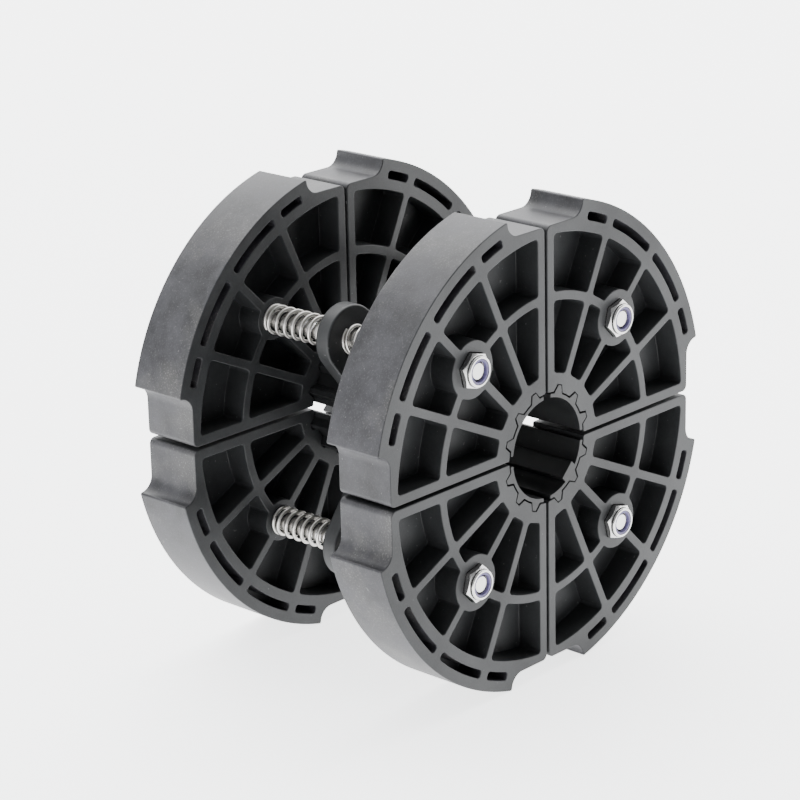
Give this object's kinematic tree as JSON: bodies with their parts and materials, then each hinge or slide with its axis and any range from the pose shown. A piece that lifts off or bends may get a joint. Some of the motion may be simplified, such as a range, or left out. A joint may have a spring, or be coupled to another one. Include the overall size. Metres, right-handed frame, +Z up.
{
  "type": "segmented shaft coupling",
  "caption": "Split ribbed discs on sprung tie bolts round a keyed bore, coupling a shaft to the inside of a winding tube.",
  "frame": {"origin": "on the axis of the keyed bore, halfway along the coupling", "axes": "+Y along the bore from the lock-nut side to the bolt-head side, +Z up, +X to the right seen from the lock-nut side"},
  "size_m": [0.189, 0.1349, 0.189],
  "materials": {
    "segment_nylon": "moulded glass-filled nylon, fine speckle",
    "shell_nylon": "moulded glass-filled nylon",
    "plate_nylon": "moulded glass-filled nylon",
    "stainless": "bright stainless steel",
    "spring_steel": "drawn stainless spring wire",
    "ring_nylon": "violet-blue nylon locking ring"
  },
  "bodies": {
    "hub": {"centre_plate": "plate_nylon", "core_shell_upper_right": "shell_nylon", "tie_bolt_upper_right": "stainless", "lock_nut_upper_right": "stainless", "nylon_ring_upper_right": "ring_nylon", "front_spring_upper_right": "spring_steel", "rear_spring_upper_right": "spring_steel", "core_shell_upper_left": "shell_nylon", "tie_bolt_upper_left": "stainless", "lock_nut_upper_left": "stainless", "nylon_ring_upper_left": "ring_nylon", "front_spring_upper_left": "spring_steel", "rear_spring_upper_left": "spring_steel", "core_shell_lower_left": "shell_nylon", "tie_bolt_lower_left": "stainless", "lock_nut_lower_left": "stainless", "nylon_ring_lower_left": "ring_nylon", "front_spring_lower_left": "spring_steel", "rear_spring_lower_left": "spring_steel", "core_shell_lower_right": "shell_nylon", "tie_bolt_lower_right": "stainless", "lock_nut_lower_right": "stainless", "nylon_ring_lower_right": "ring_nylon", "front_spring_lower_right": "spring_steel", "rear_spring_lower_right": "spring_steel"},
    "front_upper_right": {"front_segment_upper_right": "segment_nylon"},
    "rear_upper_right": {"rear_segment_upper_right": "segment_nylon"},
    "front_upper_left": {"front_segment_upper_left": "segment_nylon"},
    "rear_upper_left": {"rear_segment_upper_left": "segment_nylon"},
    "front_lower_left": {"front_segment_lower_left": "segment_nylon"},
    "rear_lower_left": {"rear_segment_lower_left": "segment_nylon"},
    "front_lower_right": {"front_segment_lower_right": "segment_nylon"},
    "rear_lower_right": {"rear_segment_lower_right": "segment_nylon"}
  },
  "joints": [
    {"name": "front_push_upper_right", "type": "slide", "parent": "hub", "child": "front_upper_right", "axis": [0, 1, 0], "range_m": [0, 0.015], "stiffness_N_per_m": 1611, "springref_m": -0.0065, "deforming": ["front_spring_upper_right"]},
    {"name": "rear_push_upper_right", "type": "slide", "parent": "hub", "child": "rear_upper_right", "axis": [0, -1, 0], "range_m": [0, 0.015], "stiffness_N_per_m": 1611, "springref_m": -0.0065, "deforming": ["rear_spring_upper_right"]},
    {"name": "front_push_upper_left", "type": "slide", "parent": "hub", "child": "front_upper_left", "axis": [0, 1, 0], "range_m": [0, 0.015], "stiffness_N_per_m": 1611, "springref_m": -0.0065, "deforming": ["front_spring_upper_left"]},
    {"name": "rear_push_upper_left", "type": "slide", "parent": "hub", "child": "rear_upper_left", "axis": [0, -1, 0], "range_m": [0, 0.015], "stiffness_N_per_m": 1611, "springref_m": -0.0065, "deforming": ["rear_spring_upper_left"]},
    {"name": "front_push_lower_left", "type": "slide", "parent": "hub", "child": "front_lower_left", "axis": [0, 1, 0], "range_m": [0, 0.015], "stiffness_N_per_m": 1611, "springref_m": -0.0065, "deforming": ["front_spring_lower_left"]},
    {"name": "rear_push_lower_left", "type": "slide", "parent": "hub", "child": "rear_lower_left", "axis": [0, -1, 0], "range_m": [0, 0.015], "stiffness_N_per_m": 1611, "springref_m": -0.0065, "deforming": ["rear_spring_lower_left"]},
    {"name": "front_push_lower_right", "type": "slide", "parent": "hub", "child": "front_lower_right", "axis": [0, 1, 0], "range_m": [0, 0.015], "stiffness_N_per_m": 1611, "springref_m": -0.0065, "deforming": ["front_spring_lower_right"]},
    {"name": "rear_push_lower_right", "type": "slide", "parent": "hub", "child": "rear_lower_right", "axis": [0, -1, 0], "range_m": [0, 0.015], "stiffness_N_per_m": 1611, "springref_m": -0.0065, "deforming": ["rear_spring_lower_right"]}
  ]
}
